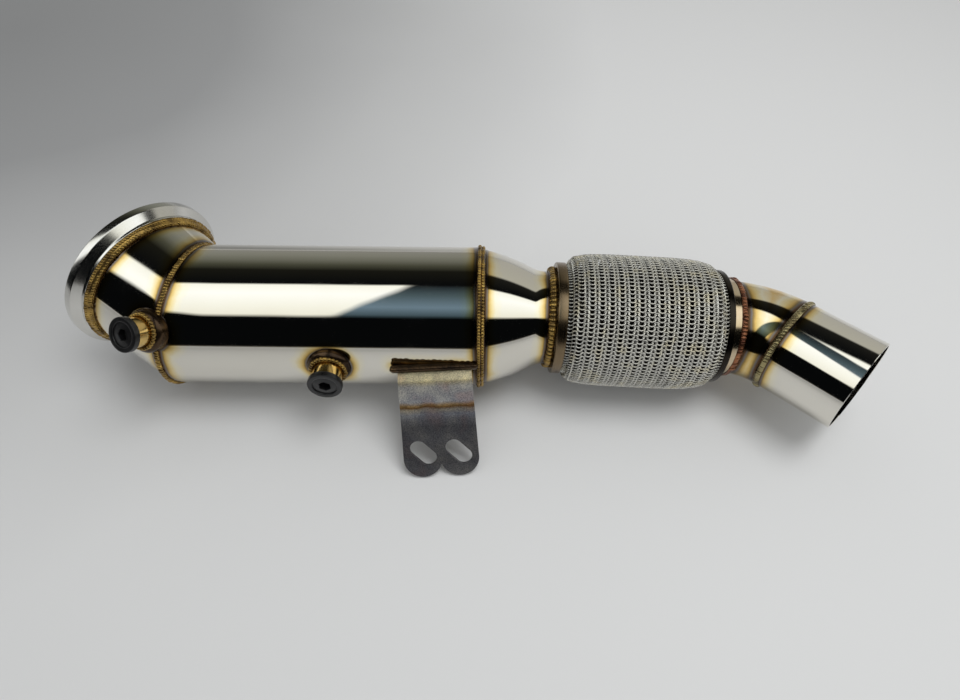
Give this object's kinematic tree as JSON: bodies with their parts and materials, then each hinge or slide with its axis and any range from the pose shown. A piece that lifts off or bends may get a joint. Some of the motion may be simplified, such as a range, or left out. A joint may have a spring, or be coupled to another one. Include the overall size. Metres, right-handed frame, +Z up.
{
  "type": "turbo downpipe",
  "caption": "Polished stainless turbo downpipe: clamp flange, slanted inlet, wide barrel with two plugged bungs and a slotted bracket, cone, braided flex, bent outlet.",
  "frame": {"origin": "centre of the turbo flange's front face", "axes": "+X along the barrel from the inlet to the outlet; +Z up as it lies at rest; +Y to the back, away from the bracket"},
  "size_m": [0.6449, 0.2106, 0.1354],
  "materials": {
    "polished_steel": "mirror polished stainless steel, straw tinted beside its welds",
    "flange_steel": "fine turned stainless steel",
    "flex_steel": "bright drawn stainless steel",
    "braid_wire": "knitted stainless wire with a soft shine",
    "bung_steel": "turned stainless steel, tinted gold by heat",
    "tinted_bead": "rippled weld, straw and gold",
    "copper_bead": "rippled weld, copper brown",
    "dark_bead": "rippled weld, dark brown to blue",
    "black_plug": "black coated steel",
    "bracket_steel": "satin stainless sheet with heat tint at the fold"
  },
  "bodies": {
    "root": {"turbo_flange": "flange_steel", "flange_weld": "tinted_bead", "inlet_stub": "polished_steel", "inlet_weld": "tinted_bead", "barrel": "polished_steel", "barrel_weld": "tinted_bead", "reducer": "polished_steel", "neck_weld": "tinted_bead", "front_collar": "flex_steel", "front_cap": "flex_steel", "bellows": "flex_steel", "flex_liner": "flex_steel", "braid_sleeve": "braid_wire", "rear_cap": "flex_steel", "rear_collar": "flex_steel", "rear_weld": "copper_bead", "elbow": "polished_steel", "outlet_weld": "tinted_bead", "outlet_tube": "polished_steel", "front_bung": "bung_steel", "front_bung_weld": "tinted_bead", "front_plug": "black_plug", "rear_bung": "bung_steel", "rear_bung_weld": "tinted_bead", "rear_plug": "black_plug", "bracket": "bracket_steel", "bracket_weld": "dark_bead"}
  },
  "joints": []
}
